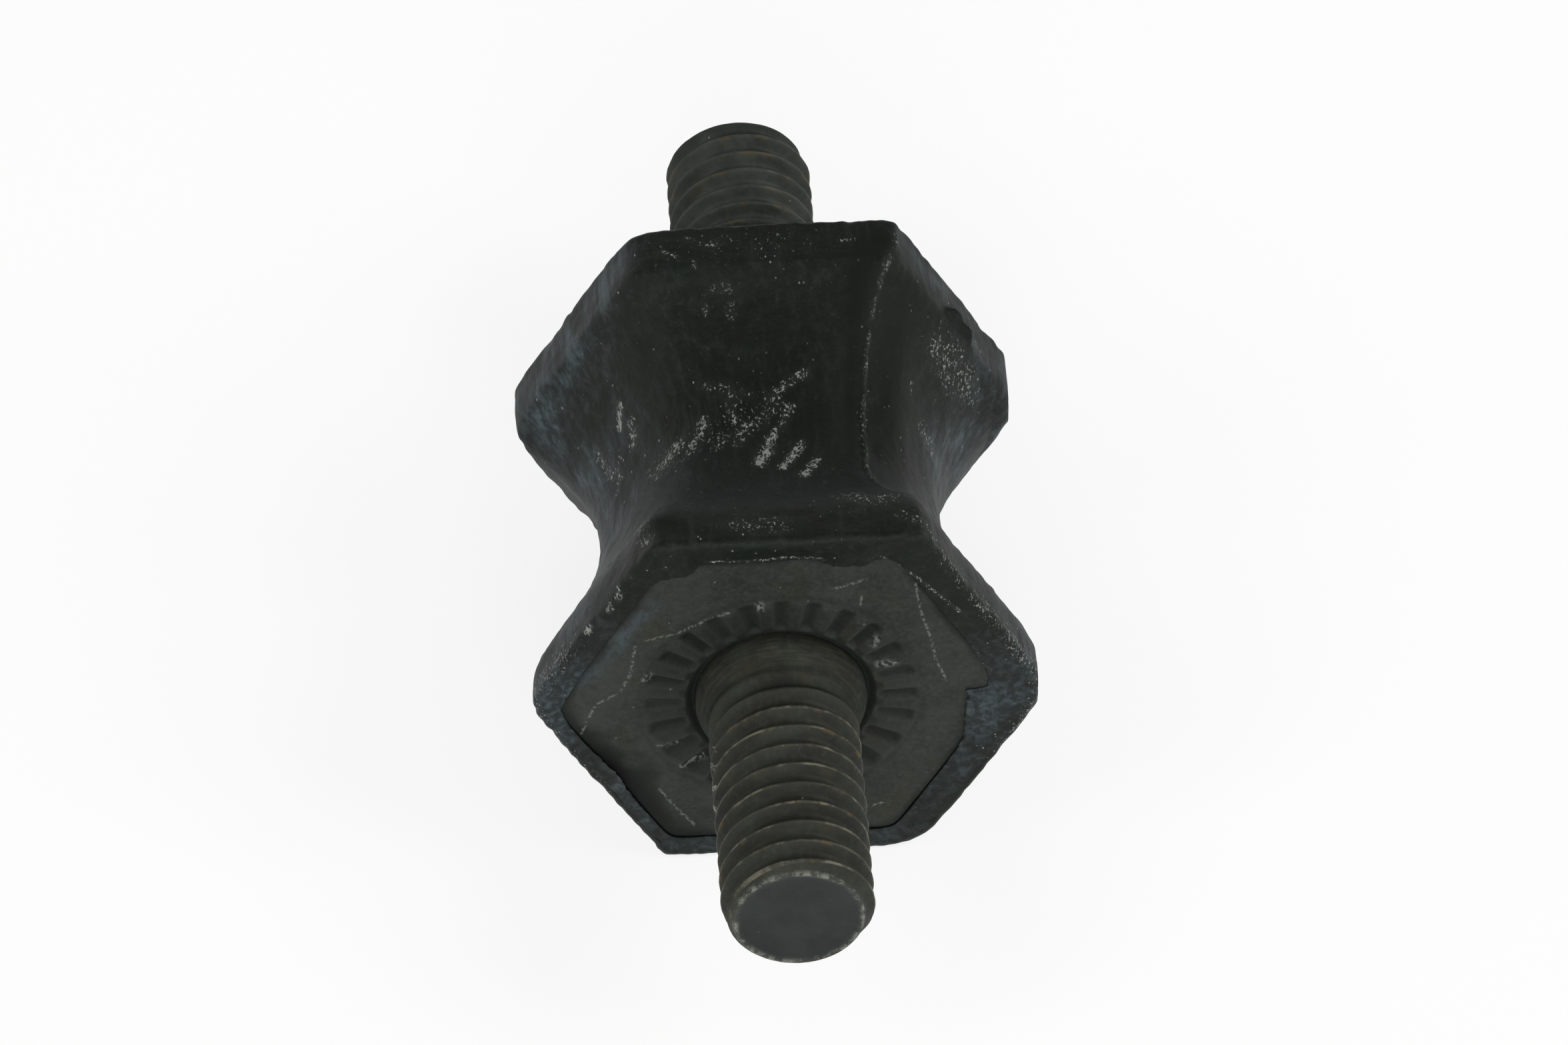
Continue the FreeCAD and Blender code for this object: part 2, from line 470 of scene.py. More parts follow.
@dataclass(frozen=True)
class RubberFinish(Finish):
    """Moulded black rubber: streaks along the axis, dust, pale scuffs and a faint mould grain, with painted
    reflection, painted shade and a painted highlight in its colour.
    """

    name: str = "moulded_black_rubber"
    specular: float = 0.18
    tint: tuple[float, float, float] = (0.95, 1.0, 0.90)
    sheen: float = 0.008

    def paint(self, graph: Graph) -> dict[str, Any]:
        """Colour from black to a grey-blue that is partly painted reflection and partly bloom, with specks,
        scuffs, painted shade and a painted highlight; satin, rougher where scuffed.
        """
        here = graph.millimetres()
        drawn_out = graph.millimetres((1.0, 0.6, 1.0))
        cloud = graph.noise(here, 0.30, 4.0, 0.6)
        streak = graph.noise(graph.millimetres((1.0, 0.14, 1.0)), 2.6, 6.0, 0.65, 0.4)
        fine = graph.noise(here, 7.0, 4.0, 0.65)
        # Grey-blue: partly painted reflection of the bright surroundings on the sides and corners, partly a
        # rubbed bloom.
        bloom = graph.mask("bloom") * (streak.step(0.40, 0.66) * 0.55 + 0.15)
        bloom = bloom * (cloud.step(0.36, 0.60) + 0.30)
        worn = streak.step(0.5, 0.8) * 0.17 + fine.step(0.52, 0.8) * 0.17
        stain = graph.noise(here, 0.45, 2.0, 0.5).step(0.52, 0.70)
        small = graph.specks(drawn_out, 5.5, 0.26, 0.10)
        large = graph.specks(graph.millimetres((1.2, 0.7, 0.9)), 3.6, 0.20, 0.03)
        patchy = graph.noise(here, 0.75, 3.0, 0.6).step(0.48, 0.64)
        dots = small.most(large) * (patchy * 0.85 + 0.06)
        grit = graph.noise(drawn_out, 9.0, 3.0, 0.65)
        curl = graph.noise(graph.millimetres((1.0, 0.7, 1.0)), 2.8, 2.0, 0.5, 1.2)
        hair = 1.0 - abs(curl - 0.5).step(0.030, 0.075)
        zone = graph.mask("scuff")
        crumbs = (grit + zone * 0.32 - 0.30).step(0.46, 0.56)
        hairs = hair * (grit + zone * 0.30 - 0.14).step(0.45, 0.56) * zone.step(0.06, 0.30)
        dusty = (grit + graph.mask("dust") * 0.16 - 0.16).step(0.55, 0.62)
        pale = crumbs.most(hairs * 0.9).most(dots * 0.8).most(dusty * 0.7)
        dark = graph.mask("dark")
        colour = graph.coats(
            (0.0026, 0.0031, 0.0021),
            (worn, (0.046, 0.051, 0.042)),
            (stain * 0.6, (0.0018, 0.0052, 0.0034)),
            # Painted reflection, partly bloom.
            (bloom.least(1.0), (0.053, 0.070, 0.078)),
            (zone * 0.28, (0.050, 0.056, 0.053)),
            (pale.least(0.85), (0.25, 0.26, 0.24)),
            # Painted shade, by the dark mask.
            (dark * 0.8, (0.0015, 0.0025, 0.0018)),
            # Rubbed mould flash lines, and a painted highlight along the rear ridge.
            (graph.mask("rub") * 0.4, (0.035, 0.040, 0.040)),
        )
        rough = 0.46 + fine * 0.14 + streak * 0.06 + pale * 0.2 + dark * 0.25
        height = fine * 0.014 + streak * 0.014 + graph.noise(here, 2.0, 4.0, 0.6) * 0.05 + pale * 0.012
        return {"Base Color": colour, "Roughness": rough.least(0.95), "Normal": graph.relief(height)}


@dataclass(frozen=True)
class PlateFinish(Finish):
    """Dark phosphated steel: matt grey with brown patches, wiped film, thin bright scratches, a painted
    shadow along the rubber's edge, darker rib valleys and painted shade over the ring.
    """

    name: str = "dark_phosphated_steel"
    specular: float = 0.20
    tint: tuple[float, float, float] = (0.98, 1.0, 0.96)
    sheen: float = 0.01

    def paint(self, graph: Graph) -> dict[str, Any]:
        """Grey with patches and film, bright where it is scratched, with a painted shadow at the edge of the
        rubber, darker rib valleys and painted shade over the ring.
        """
        here = graph.millimetres()
        patch = graph.noise(here, 0.34, 4.0, 0.6)
        tooth = graph.noise(here, 6.0, 5.0, 0.7)
        hair = graph.noise(graph.millimetres((0.25, 1.0, 1.0)), 4.5, 4.0, 0.65, 0.3)
        olive = graph.noise(here, 0.6, 3.0).step(0.50, 0.68)
        soot = graph.noise(here, 2.2, 5.0, 0.7).step(0.50, 0.70)
        film = graph.mask("smear") * (graph.noise(here, 1.4, 3.0, 0.6).step(0.30, 0.55) * 0.8 + 0.2)
        wisp = graph.noise(graph.millimetres((1.0, 1.0, 0.5)), 3.0, 4.0, 0.6, 0.6).step(0.40, 0.62)
        grime = graph.mask("grime")
        scratch = graph.mask("scratch") * graph.noise(here, 7.0, 2.0).step(0.42, 0.58)
        nick = graph.mask("nick") * graph.noise(here, 5.0, 2.0).step(0.46, 0.56)
        bright = scratch.most(graph.specks(here, 2.8, 0.16, 0.05) * 0.5).most(nick)
        colour = graph.coats(
            (0.0130, 0.0150, 0.0118),
            (patch.step(0.35, 0.66), (0.0240, 0.0285, 0.0250)),
            (olive * 0.7, (0.0205, 0.0200, 0.0118)),
            (tooth.step(0.42, 0.70) * 0.45, (0.042, 0.048, 0.043)),
            (soot * 0.5, (0.0085, 0.0105, 0.0090)),
            (hair.step(0.55, 0.8) * 0.3, (0.040, 0.044, 0.042)),
            (film * (wisp * 0.7 + 0.3), (0.040, 0.053, 0.060)),
            (graph.mask("shade") * (patch * 0.4 + 0.5), (0.0060, 0.0065, 0.0052)),
            # Painted shadow at the edge of the rubber, and darker rib valleys.
            (grime * 0.95, (0.0030, 0.0036, 0.0032)),
            (bright.least(1.0) * 0.5, (0.27, 0.28, 0.25)),
        )
        rough = 0.50 + tooth * 0.16 - bright * 0.08 + grime * 0.2
        height = tooth * 0.014 + patch * 0.05 + hair * 0.006 - bright * 0.01
        return {"Base Color": colour, "Roughness": rough, "Metallic": 0.05 + bright * 0.3,
                "Normal": graph.relief(height)}


@dataclass(frozen=True)
class StudFinish(Finish):
    """Oiled dark steel thread: olive-grey flanks, worn pale crests, a little rust and a bare bluish end, with
    painted shade at the foot and painted highlights on the end's rim and crests.
    """

    name: str = "oiled_dark_steel"
    specular: float = 0.22
    tint: tuple[float, float, float] = (1.0, 1.0, 0.94)
    sheen: float = 0.01
    dark: tuple[float, float, float] = (0.0105, 0.0115, 0.0080)
    light: tuple[float, float, float] = (0.0195, 0.0215, 0.0160)
    worn: float = 0.72

    def paint(self, graph: Graph) -> dict[str, Any]:
        """Olive-grey, pale along the worn crests, rust-brown in spots, blue-grey on the end face; painted
        shade at the foot, painted highlights on the end's rim and the crests.
        """
        here = graph.millimetres()
        patch = graph.noise(here, 0.5, 4.0, 0.6)
        tooth = graph.noise(here, 6.0, 5.0, 0.7)
        scored = graph.noise(graph.millimetres((1.0, 0.25, 1.0)), 4.0, 4.0, 0.6)
        lathe = graph.noise(graph.millimetres((0.12, 1.0, 0.12)), 8.0, 3.0, 0.6)
        crest = graph.mask("crest")
        foot = graph.mask("foot")
        brown = graph.noise(here, 0.9, 3.0).step(0.55, 0.75)
        bare = graph.mix(patch.step(0.3, 0.7), (0.0100, 0.0130, 0.0125), (0.0175, 0.0220, 0.0210))
        # Painted shade at the foot of the stud, where it meets the plate, in patches.
        foot_shade = foot * (1.0 - patch.step(0.45, 0.62))
        rust = graph.noise(here, 1.2, 3.0, 0.6).step(0.56, 0.68) * crest.step(0.10, 0.7)
        broken = graph.noise(here, 1.1, 5.0, 0.7).step(0.45, 0.66)
        wear = crest.step(0.82, 1.0) * (broken * self.worn + 0.12 * self.worn)
        burr = (tooth + graph.mask("burr") * 0.42 - 0.36).step(0.47, 0.55)
        chipped = graph.noise(here, 2.4, 4.0, 0.7).step(0.44, 0.60)
        # Rim of the end face: a faint painted highlight all round, brighter where chipped bare.
        bright = burr.most(graph.mask("rim") * (chipped * 0.75 + 0.10))
        bright = bright.most(graph.specks(here, 2.6, 0.15, 0.05) * 0.6)
        colour = graph.coats(
            self.dark,
            (patch.step(0.35, 0.66), self.light),
            (scored.step(0.48, 0.75) * 0.35, (0.038, 0.041, 0.032)),
            (brown * 0.5, (0.032, 0.029, 0.016)),
            (foot * lathe.step(0.46, 0.62) * 0.6, (0.040, 0.041, 0.030)),
            (graph.mask("face"), bare),
            (foot_shade * 0.35, (0.0090, 0.0095, 0.0070)),
            (rust * 0.55, (0.075, 0.050, 0.020)),
            (wear, (0.125, 0.118, 0.082)),
            (bright.least(1.0) * 0.8, (0.24, 0.25, 0.215)),
        )
        rough = 0.46 + tooth * 0.18 - wear * 0.08 + foot * 0.15
        height = tooth * 0.016 + patch * 0.02 + burr * 0.03 + scored * 0.008 + lathe * 0.012
        return {"Base Color": colour, "Roughness": rough, "Metallic": 0.05 + bright * 0.3,
                "Normal": graph.relief(height)}


# Sub-assemblies


@dataclass
class Plate:
    """One hexagonal steel plate with the ring of ribs that is staked around its stud."""

    end: End
    face: float = 8.75
    back: float = 7.26
    half_flats: float = 7.645
    corner_rounding: float = 0.8
    bore: float = 3.335
    moat_radius: float = 3.52
    moat_depth: float = 0.30
    ring_inner: float = 3.78
    ring_outer: float = 5.32
    rib_height: float = 0.118
    valley_depth: float = 0.17
    ribs: int = 24
    edge_rounding: float = 0.12
    fine_reach: float = 5.5
    columns: int = 720
    seed: int = 11
    marks_turn: float = 0.0

    def outline(self, theta: Array) -> Array:
        """Radius of the plate's edge at an angle."""
        sharpness = np.full(np.shape(theta), 4.5 * self.half_flats / self.corner_rounding)
        return hexagon_radius(theta, [self.half_flats] * 6, np.full(np.shape(theta), UNCUT), sharpness)

    def relief(self, theta: Array, radius: Array) -> Array:
        """Height of the worked face above the plain plate.

        Ribs: a squared-off cosine of the angle times the number of ribs, uneven from rib to rib,
        inside a ring with eased edges. The moat is an eased step down next to the stud.

        Args:
            theta: angles.
            radius: distances from the axis.

        Returns:
            The height at each place.
        """
        rng = np.random.default_rng(self.seed)

        def ripple(turns: tuple[int, ...], least: float, most: float) -> Array:
            """Sum of sines round the ring, each of a random strength and phase."""
            strengths = rng.uniform(least, most, 4)
            phases = rng.uniform(0, 6.3, 4)
            return sum(a * np.sin(k * theta + p) for k, a, p in zip(turns, strengths, phases))

        wander = ripple((3, 5, 8, 13), 0.08, 0.22)
        swell = 1.0 + ripple((4, 7, 11, 17), 0.06, 0.2)
        wave = np.cos(self.ribs * (theta - math.pi / 2) + wander + math.pi)
        rib = 0.5 + 0.5 * np.tanh(1.5 * wave + 0.25)
        inside = smoothstep(self.ring_inner - 0.1, self.ring_inner + 0.28, radius)
        outside = 1.0 - smoothstep(self.ring_outer - 0.30, self.ring_outer + 0.12, radius)
        rim = bump(self.ring_outer + 0.18, 0.12, radius) * -0.025
        ring = inside * outside * swell * (rib * (self.rib_height + self.valley_depth) - self.valley_depth)
        moat = -self.moat_depth * (1.0 - smoothstep(self.moat_radius - 0.14, self.moat_radius + 0.26, radius))
        return ring + moat + rim

    def skin(self) -> Skin:
        """Face from the bore to the edge, round the edge, back behind the plate and up the bore.

        Returns:
            The closed surface with its masks.
        """
        theta = np.linspace(0, 2 * math.pi, self.columns, endpoint=False)[None, :]
        edge = self.outline(theta)
        rounding = self.edge_rounding
        moat = np.linspace(self.bore, 3.9, 14)
        inner = np.concatenate([moat, np.linspace(3.97, self.fine_reach, 30)])[:, None]
        inner = inner + 0 * theta
        share = np.linspace(0, 1, 34)[1:, None]
        outer = self.fine_reach + (edge - rounding - self.fine_reach) * share
        radius = np.vstack([inner, outer])
        height = self.face + self.relief(theta, radius)
        turn = np.linspace(0, math.pi / 2, 5)[1:, None]
        flat = np.ones_like(edge)
        radius = np.vstack([radius, edge - rounding + rounding * np.sin(turn), edge, 5.0 * flat,
                            self.bore * flat])
        height = np.vstack([height, self.face - rounding + rounding * np.cos(turn) * flat, self.back * flat,
                            self.back * flat, self.back * flat])
        points = place(theta, radius, height, self.end)
        marked = theta - self.marks_turn
        face_x, face_z = radius * np.cos(marked) * -self.end.value, radius * np.sin(marked)
        masks = self.masks(theta, radius, face_x, face_z, edge)
        return Skin(points, masks, loop=True, flip=self.end is End.REAR)

    def masks(self, theta: Array, radius: Array, x: Array, z: Array, edge: Array) -> dict[str, Array]:
        """Scratches, wiped film, nicks, a painted shadow at the rubber's edge, darker rib valleys and painted
        shade over the ring, by their places on the face, x to the right and z up.

        Args:
            theta: angles.
            radius: distances from the axis.
            x: places to the right of the axis as one looks at the face.
            z: places above the axis.
            edge: radius of the plate's edge at each angle.

        Returns:
            The masks by their names.
        """
        scratches = (
            ((-2.0, 4.9), (-2.9, 4.5), (-3.9, 3.9), (-5.2, 3.55)),
            ((-5.6, 3.3), (-5.8, 1.8), (-6.2, 0.8), (-7.2, 0.1), (-7.8, -1.5)),
            ((5.2, 6.0), (5.4, 4.5), (5.8, 3.0), (6.0, 1.8), (6.4, 0.6)),
            ((2.0, 5.9), (3.3, 6.35)), ((3.12, 5.4), (3.1, 4.9)), ((3.2, -6.4), (4.2, -6.1)),
            ((-4.8, -4.8), (-4.1, -6.0), (-3.4, -7.0)), ((-1.5, -7.0), (1.2, -5.8)),
            ((4.3, 7.45), (4.9, 6.75), (5.5, 5.95), (6.5, 4.35)),
        )
        smears = (((-4.9, 5.4), (-5.6, 4.5), (-6.3, 3.3), (-7.7, 1.5)),)
        nicks = (((-5.25, 1.3), (-5.1, 1.6)), ((-0.8, 5.1), (-0.8, 5.2)), ((3.6, 2.9), (3.7, 3.1)),
                 ((3.8, 1.7), (4.4, 1.75)), ((-3.9, -3.6), (-3.1, -3.1)), ((-4.7, -2.4), (-4.0, -2.2)))
        inset = edge - radius
        uneven = grain(np.stack([x, 0 * x, z], -1), 1.6, 5)
        low_left = bump(0.0, 32.0, np.degrees(np.arctan2(z, x)) % 360 - 214.0)
        reach = 0.40 + 0.85 * low_left + (0.10 + 0.20 * low_left) * uneven
        # Painted shadow along the rubber's edge, wider and darker at the lower left where the lip lifts off
        # the plate.
        grime = (1.0 - smoothstep(0.0, 1.0, (inset - 0.40 * low_left) / reach)) * (0.7 + 0.3 * low_left)
        # Darker in the rib valleys.
        valley = np.clip(-self.relief(theta, radius) / 0.2, 0, 1) * 0.55
        ring = smoothstep(3.3, 3.9, radius) * (1.0 - smoothstep(5.0, 5.9, radius))
        shade = ring * (0.75 - 0.35 * smoothstep(-3.0, 4.0, x))
        return {
            "scratch": stroke_mask(x, z, scratches, 0.08),
            "smear": stroke_mask(x, z, smears, 0.7),
            "nick": stroke_mask(x, z, nicks, 0.3),
            "grime": np.clip(np.maximum(grime, valley), 0, 1),
            "shade": np.clip(shade, 0, 1),
        }

    def build(self, finish: Finish) -> None:
        """Make the plate and dress it."""
        side = self.end.name.lower()
        finish.dress(self.skin().build(f"{side}_plate_face", Slot.PLATE, f"{side}_plate"))


@dataclass
class Stud:
    """One stud: head behind the plate, neck through it, and an M6 thread cut to a chamfered, dished end."""

    end: End
    length: float
    crest_at: float
    face: float = 8.75
    head_back: float = 6.06
    head_front: float = 7.24
    head_radius: float = 4.98
    neck: float = 3.325
    crest: float = 2.945
    pitch: float = 1.0
    flank_slope: float = 1.732
    crest_half_width: float = 0.055
    crest_ease: float = 0.05
    worn_width: float = 0.055
    thread_depth: float = 0.46
    root_ease: float = 0.14
    chamfer: float = 0.45
    dish: float = 0.09
    wear: float = 1.0
    columns: int = 224
    rows_per_mm: int = 32
    seed: int = 3

    def thread(self, theta: Array, height: Array) -> tuple[Array, Array]:
        """Radius of the thread, and how near each place is to a crest.

        The phase is the distance along the axis to the nearest crest, which climbs one pitch a turn.
        Past the crest's own half width the flank falls at 60 degrees to the axis, into a rounded root.
        It starts beyond the neck and ends in the cone of the chamfer.

        Args:
            theta: angles.
            height: distances along the axis.

        Returns:
            The radius, and 1 on a crest falling to 0 beside it, a little weaker away from the upper right,
            which is a painted highlight.
        """
        turn = -self.end.value * (theta - math.pi / 2) / (2 * math.pi)
        along = height - self.crest_at - self.pitch * turn
        phase = np.abs((along / self.pitch + 0.5) % 1.0 - 0.5) * self.pitch
        past = phase - self.crest_half_width
        fall = self.flank_slope * 0.5 * (past + np.sqrt(past ** 2 + self.crest_ease ** 2))
        fall = softmin(fall, np.full_like(fall, self.thread_depth), self.root_ease)
        depth = fall * smoothstep(self.face + 0.9, self.face + 2.6, height)
        taper = smoothstep(self.face + 0.15, self.face + 1.3, height)
        neck_cone = self.neck - (self.neck - self.crest) * taper
        tip = self.face + self.length
        cone = self.crest - self.chamfer + (tip - height)
        radius = softmin(neck_cone - depth, cone + 0 * theta, 0.03)
        crest = np.exp(-((np.maximum(past, 0.0) / self.worn_width) ** 2)) * self.wear
        crest = crest * smoothstep(self.face + 1.2, self.face + 3.0, height)
        # Painted highlight: the crests a little paler towards the upper right.
        crest = crest * (0.93 + 0.07 * np.cos(theta - 1.2))
        return radius, crest

    def skin(self) -> Skin:
        """From the middle of the end face out over its rim, down the thread and neck, to the head's back.

        Returns:
            The closed surface with its masks.
        """
        theta = np.linspace(0, 2 * math.pi, self.columns, endpoint=False)[None, :]
        flat = np.ones_like(theta)
        tip = self.face + self.length
        edge = self.crest - self.chamfer
        rim = edge - 0.05
        dish_radius = np.array([0.4, 0.8, 1.2, 1.6, 1.9, 2.1, 2.2, 2.27, 2.33, 2.38])[:, None] * (rim / 2.45)
        dish_height = tip - self.dish * (1.0 - smoothstep(2.12, rim, dish_radius))
        dish_height = dish_height - 0.03 * (1 - dish_radius / rim)
        count = int((self.length + 0.02) * self.rows_per_mm)
        shank_height = np.linspace(tip - 0.02, self.face, count)[:, None] * flat
        shank_radius, crest = self.thread(theta, shank_height)
        hidden = (
            (self.neck, self.face - 0.3), (self.neck, self.head_front), (self.head_radius, self.head_front),
            (self.head_radius, self.head_back + 0.2), (self.head_radius - 0.2, self.head_back),
            (2.5, self.head_back),
        )
        radius = np.vstack([dish_radius * flat, rim * flat, (edge - 0.015) * flat, shank_radius,
                            *(r * flat for r, _ in hidden)])
        height = np.vstack([dish_height * flat, tip * flat, (tip - 0.003) * flat, shank_height,
                            *(h * flat for _, h in hidden)])
        crest = np.pad(crest, ((len(dish_radius) + 2, len(hidden)), (0, 0)))
        points = place(theta, radius, height, self.end)
        wear = grain(points, 1.1, self.seed)
        dent = 0.012 * wear * crest + 0.004 * grain(points, 0.5, self.seed + 1)
        shank = (height < tip - 0.01) & (height > self.face + 0.2)
        radius = radius - np.where(shank, np.maximum(dent, -0.004), 0.0)
        points = place(theta, radius, height, self.end)
        face_mask = np.where((height > tip - 0.2) & (radius < rim - 0.02), 1.0, 0.0)
        # Rim of the end face: painted highlight and bare chips.
        rim_highlight_and_chips = bump(rim, 0.10, radius) * np.where(height > tip - 0.12, 1.0, 0.0)
        angle = np.degrees(theta) + 0 * radius
        burred = (((176.0, 11.6 * 12), (183.0, 14.4 * 12)),) if self.end is End.FRONT else ()
        burr = stroke_mask(angle, height * 12.0, burred, 14.0)
        foot = 1.0 - smoothstep(self.face + 0.3, self.face + 2.0, height)
        masks = {"crest": crest, "face": face_mask, "rim": rim_highlight_and_chips, "burr": burr, "foot": foot}
        return Skin(points, masks, flip=self.end is End.REAR)

    def build(self, finish: Finish) -> None:
        """Make the stud and dress it."""
        side = self.end.name.lower()
        finish.dress(self.skin().build(f"{side}_threaded_stud", Slot.STUD, f"{side}_stud"))


# Marks of the rubber's outside, each a strength, a width in mm, and its places as degrees and height
SCUFF_STROKES = (
    (1.0, 0.34, (143.5, -3.6), (147.2, -2.9)), (0.75, 0.6, (140.8, -2.5), (143.5, -1.8)),
    (0.5, 0.14, (150.9, -2.2), (159.2, -0.4)), (0.55, 0.9, (131.0, 1.0), (125.0, 0.6), (121.0, 0.3)),
    (0.6, 0.6, (116.7, 1.0), (113.2, 0.2), (111.6, -0.4)), (0.38, 0.5, (107.1, 1.2), (103.5, 0.7)),
    (0.42, 0.8, (100.5, 1.1), (98.3, 0.5), (97.0, 0.2)),
    (0.34, 0.5, (101.7, -1.8), (102.5, -1.0), (101.0, -0.2)),
    (0.24, 0.6, (109.1, -2.0), (102.5, -1.8), (94.7, -1.4)),
    (0.5, 0.5, (88.1, -1.2), (82.6, -1.8), (77.5, -2.3)),
    (0.26, 0.8, (93.7, 0.1), (88.1, -0.6), (83.0, -0.7)),
    (0.95, 0.5, (93.7, 2.6), (91.0, 1.8), (89.1, 0.9)), (0.6, 0.45, (89.1, 0.9), (84.4, 0.1), (81.7, -0.7)),
    (0.8, 0.45, (86.3, 2.9), (82.6, 2.2), (79.1, 1.4)), (0.85, 0.4, (80.0, 3.6), (75.1, 2.5)),
    (0.6, 0.16, (104.9, -5.2), (105.7, -4.9)), (0.32, 0.4, (98.3, -5.3), (98.3, -4.7)),
    (0.22, 0.6, (101.7, -5.8), (96.5, -5.7)), (0.7, 0.15, (38.3, -3.6), (38.3, -3.1)),
    (0.32, 1.1, (33.7, -5.5), (27.2, -5.8), (20.0, -5.8)), (0.55, 0.5, (20.0, -5.8), (15.9, -5.6)),
    (0.28, 1.0, (30.9, -5.2), (22.6, -4.9), (18.3, -5.2)), (0.36, 0.9, (28.1, -2.3), (18.3, -2.0)),
    (0.3, 0.9, (70.9, 6.0), (67.4, 6.6), (63.3, 6.5)),
    (0.34, 0.8, (162.5, -2.9), (159.2, -1.7), (154.7, -1.0)),
    (0.22, 0.6, (106.5, -8.1), (101.8, -7.6), (96.5, -8.1)), (0.5, 0.2, (68.9, -7.6), (67.2, -7.6)),
    (0.3, 0.3, (112.6, -7.4), (109.8, -7.1)), (0.4, 0.2, (105.7, -6.8), (105.7, -6.5)),
    (0.24, 1.2, (100.0, 7.9), (89.1, 7.8)), (0.3, 0.7, (60.5, 7.6), (52.0, 8.3), (42.0, 8.5)),
    (0.4, 0.8, (124.1, 6.6), (121.6, 7.9)), (0.9, 0.25, (134.3, 8.6), (136.0, 8.8)),
    (0.8, 0.2, (139.0, 8.7), (141.0, 8.8)), (0.8, 0.2, (149.0, 8.7), (151.0, 8.7)),
)
DUST_STROKES = (
    (0.8, 1.9, (112.0, 1.0), (100.0, -0.6), (93.0, -1.0)),
    (0.8, 1.7, (33.0, -5.8), (24.0, -5.4), (14.0, -5.3)), (0.8, 1.5, (72.0, 6.3), (64.0, 6.6)),
    (0.8, 1.8, (135.0, 0.5), (118.0, 1.0)), (0.7, 0.8, (55.5, -2.0), (57.5, 1.0)),
    (0.7, 1.4, (48.0, 8.5), (30.0, 8.6)),
)
# Grey-blue strokes: partly painted reflection on the sides under the rims, partly a rubbed bloom.
GLARE_AND_BLOOM_STROKES = (
    (0.9, 1.9, (127.0, -8.0), (137.0, -7.2), (152.0, -7.0), (163.0, -7.6)),
    (0.7, 0.9, (53.0, -8.1), (44.0, -7.7), (36.0, -8.0)), (0.7, 1.3, (14.0, -6.6), (4.0, -5.6)),
    (1.0, 0.3, (32.5, -7.25), (21.0, -7.0)), (0.8, 1.8, (20.0, -2.2), (0.0, -3.4)),
    (0.6, 1.8, (150.0, 1.2), (165.0, 2.0)), (0.6, 1.6, (163.0, -6.2), (170.0, -3.6)),
)
# How far the front lip reaches over the plate: degrees and mm
FILM_REACH = (
    (0.0, 1.5), (0.5, 1.5), (0.9, 0.72), (7.0, 0.25), (11.7, 0.18), (20.0, 0.04), (50.0, 0.05),
    (55.0, 0.08), (60.0, 0.16), (64.0, 0.28), (65.5, 0.6), (74.0, 0.48), (79.0, 0.1), (82.0, 0.04),
    (90.0, 0.04), (92.0, 0.08), (97.0, 0.07), (99.0, 0.04), (112.0, 0.05), (115.0, 0.5), (117.0, 0.72),
    (121.5, 0.6), (124.0, 0.25), (128.0, 0.05), (165.0, 0.04), (180.0, 0.2), (187.0, 0.06), (195.0, 0.08),
    (204.0, 0.24), (210.0, 0.32), (217.0, 0.15), (224.0, 0.05), (300.0, 0.04), (325.0, 0.05), (336.0, 0.12),
    (341.0, 0.28), (352.0, 1.03), (360.0, 1.5),
)


